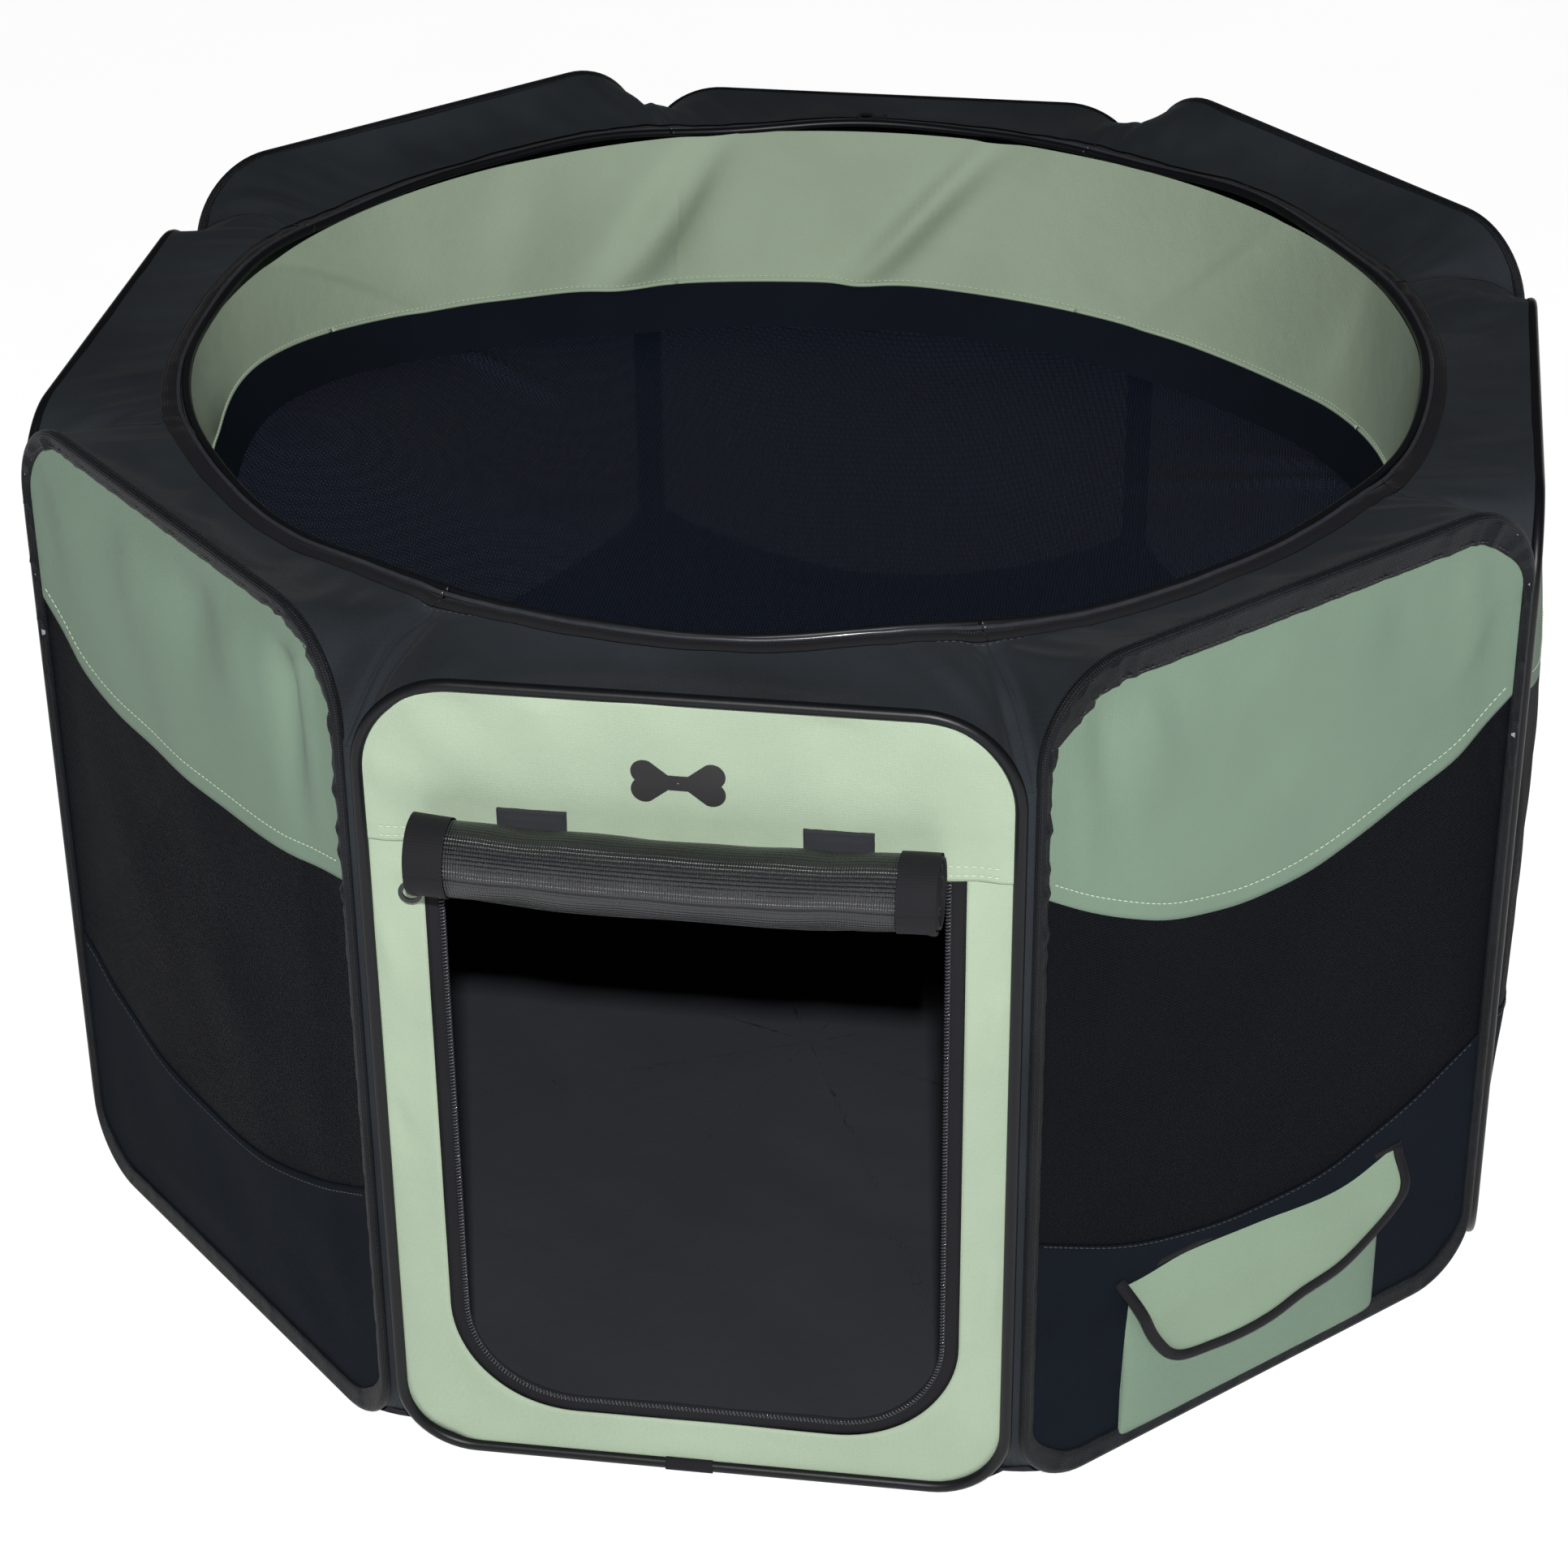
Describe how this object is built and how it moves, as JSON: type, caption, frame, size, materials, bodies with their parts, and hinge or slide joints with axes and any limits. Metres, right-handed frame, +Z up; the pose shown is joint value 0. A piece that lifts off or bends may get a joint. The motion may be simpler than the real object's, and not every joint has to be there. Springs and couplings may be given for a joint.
{
  "type": "pet playpen",
  "caption": "Folding octagonal fabric pet playpen: sprung wire hoops, mesh windows, roll-up front door, collar with a zip-on net top cover, and an outside pocket.",
  "frame": {"origin": "centre of the octagonal floor, on its underside, which is the ground", "axes": "+Z up; -Y out through the door panel; +X to the right as seen from the door side"},
  "size_m": [0.7428, 0.7809, 0.4492],
  "materials": {
    "hoop_steel": "bare spring-steel wire, hidden in its sleeve",
    "sage_fabric": "matt coated polyester, plain weave",
    "black_mesh": "woven vinyl-coated mesh",
    "charcoal_fabric": "matt polyester, plain weave",
    "floor_fabric": "coated polyester, plain weave",
    "binding": "woven binding tape with a slight sheen",
    "piping": "glossy black vinyl piping",
    "zip_metal": "black enamelled metal"
  },
  "bodies": {
    "panel_front": {"hoop_front": "hoop_steel", "door_header": "sage_fabric", "door_surround": "sage_fabric", "door_zip_tape": "binding", "roll_tab_left": "binding", "roll_tab_right": "binding", "collar_front": "charcoal_fabric", "floor_front": "floor_fabric", "cover_band": "sage_fabric", "cover_net": "black_mesh"},
    "panel_front_right": {"hoop_front_right": "hoop_steel", "valance_front_right": "sage_fabric", "window_front_right": "black_mesh", "skirt_front_right": "charcoal_fabric", "collar_front_right": "charcoal_fabric", "floor_front_right": "floor_fabric", "pocket_bag": "sage_fabric"},
    "panel_right": {"hoop_right": "hoop_steel", "valance_right": "sage_fabric", "window_right": "black_mesh", "skirt_right": "charcoal_fabric", "collar_right": "charcoal_fabric", "floor_right": "floor_fabric"},
    "panel_back_right": {"hoop_back_right": "hoop_steel", "valance_back_right": "sage_fabric", "window_back_right": "black_mesh", "skirt_back_right": "charcoal_fabric", "collar_back_right": "charcoal_fabric", "floor_back_right": "floor_fabric"},
    "panel_back": {"hoop_back": "hoop_steel", "valance_back": "sage_fabric", "window_back": "black_mesh", "skirt_back": "charcoal_fabric", "collar_back": "charcoal_fabric", "floor_back": "floor_fabric"},
    "panel_back_left": {"hoop_back_left": "hoop_steel", "valance_back_left": "sage_fabric", "window_back_left": "black_mesh", "skirt_back_left": "charcoal_fabric", "collar_back_left": "charcoal_fabric", "floor_back_left": "floor_fabric"},
    "panel_left": {"hoop_left": "hoop_steel", "valance_left": "sage_fabric", "window_left": "black_mesh", "skirt_left": "charcoal_fabric", "collar_left": "charcoal_fabric", "floor_left": "floor_fabric"},
    "panel_front_left": {"hoop_front_left": "hoop_steel", "valance_front_left": "sage_fabric", "window_front_left": "black_mesh", "skirt_front_left": "charcoal_fabric", "collar_front_left": "charcoal_fabric", "floor_front_left": "floor_fabric"},
    "door_roll_up": {"door_roll": "black_mesh"},
    "door_zip_slider": {"door_slider": "zip_metal"},
    "door_zip_pull": {"door_pull": "zip_metal"},
    "pocket_cover": {"pocket_flap": "sage_fabric"},
    "collar_zip_slider": {"collar_slider": "zip_metal"},
    "collar_zip_pull": {"collar_pull": "zip_metal"}
  },
  "joints": [
    {"name": "hinge_front_to_front_right", "type": "hinge", "parent": "panel_front", "child": "panel_front_right", "pos_m": [0.15264, -0.3685, 0], "axis": [0, 0, 1], "range_deg": [-42, 0]},
    {"name": "hinge_front_right_to_right", "type": "hinge", "parent": "panel_front_right", "child": "panel_right", "pos_m": [0.3685, -0.15264, 0], "axis": [0, 0, 1], "range_deg": [-42, 0]},
    {"name": "fold", "type": "hinge", "parent": "panel_right", "child": "panel_back_right", "pos_m": [0.3585, 0.1485, 0], "axis": [0, 0, 1], "range_deg": [0, 126], "deforming": ["collar_front", "collar_front_right", "collar_right", "collar_back_right", "collar_back", "collar_back_left", "collar_left", "collar_front_left", "floor_front", "floor_front_right", "floor_right", "floor_back_right", "floor_back", "floor_back_left", "floor_left", "floor_front_left", "cover_band", "cover_net"]},
    {"name": "hinge_back_right_to_back", "type": "hinge", "parent": "panel_back_right", "child": "panel_back", "pos_m": [0.15264, 0.3685, 0], "axis": [0, 0, 1], "range_deg": [-42, 0]},
    {"name": "hinge_front_to_front_left", "type": "hinge", "parent": "panel_front", "child": "panel_front_left", "pos_m": [-0.15264, -0.3685, 0], "axis": [0, 0, 1], "range_deg": [0, 42]},
    {"name": "hinge_front_left_to_left", "type": "hinge", "parent": "panel_front_left", "child": "panel_left", "pos_m": [-0.3585, -0.1485, 0], "axis": [0, 0, 1], "range_deg": [-126, 0]},
    {"name": "hinge_left_to_back_left", "type": "hinge", "parent": "panel_left", "child": "panel_back_left", "pos_m": [-0.3685, 0.15264, 0], "axis": [0, 0, 1], "range_deg": [0, 42]},
    {"name": "door_unroll", "type": "slide", "parent": "panel_front", "child": "door_roll_up", "axis": [0, 0, -1], "range_m": [0, 0.28], "deforming": ["door_roll"]},
    {"name": "door_zip_travel", "type": "slide", "parent": "panel_front", "child": "door_zip_slider", "axis": [0, 0, -1], "range_m": [0, 0.22]},
    {"name": "door_pull_swing", "type": "hinge", "parent": "door_zip_slider", "child": "door_zip_pull", "pos_m": [-0.117, -0.3741, 0.331], "axis": [-0.6157, 0, 0.788], "range_deg": [0, 100]},
    {"name": "pocket_flap_lift", "type": "hinge", "parent": "panel_front_right", "child": "pocket_cover", "pos_m": [0.26135, -0.26135, 0.105], "axis": [-0.7071, -0.7071, 0], "range_deg": [0, 88]},
    {"name": "collar_zip_travel", "type": "hinge", "parent": "panel_back", "child": "collar_zip_slider", "pos_m": [0, 0, 0.43], "axis": [0, 0, 1], "range_deg": [-12, 12]},
    {"name": "collar_pull_flip", "type": "hinge", "parent": "collar_zip_slider", "child": "collar_zip_pull", "pos_m": [0, 0.323, 0.4348], "axis": [0, 1, 0], "range_deg": [0, 160]}
  ],
  "couplings": [
    {"joint": "hinge_front_to_front_right", "follows": "fold", "ratio": -0.33333},
    {"joint": "hinge_front_right_to_right", "follows": "fold", "ratio": -0.33333},
    {"joint": "hinge_back_right_to_back", "follows": "fold", "ratio": -0.33333},
    {"joint": "hinge_front_to_front_left", "follows": "fold", "ratio": 0.33333},
    {"joint": "hinge_front_left_to_left", "follows": "fold", "ratio": -1},
    {"joint": "hinge_left_to_back_left", "follows": "fold", "ratio": 0.33333}
  ]
}
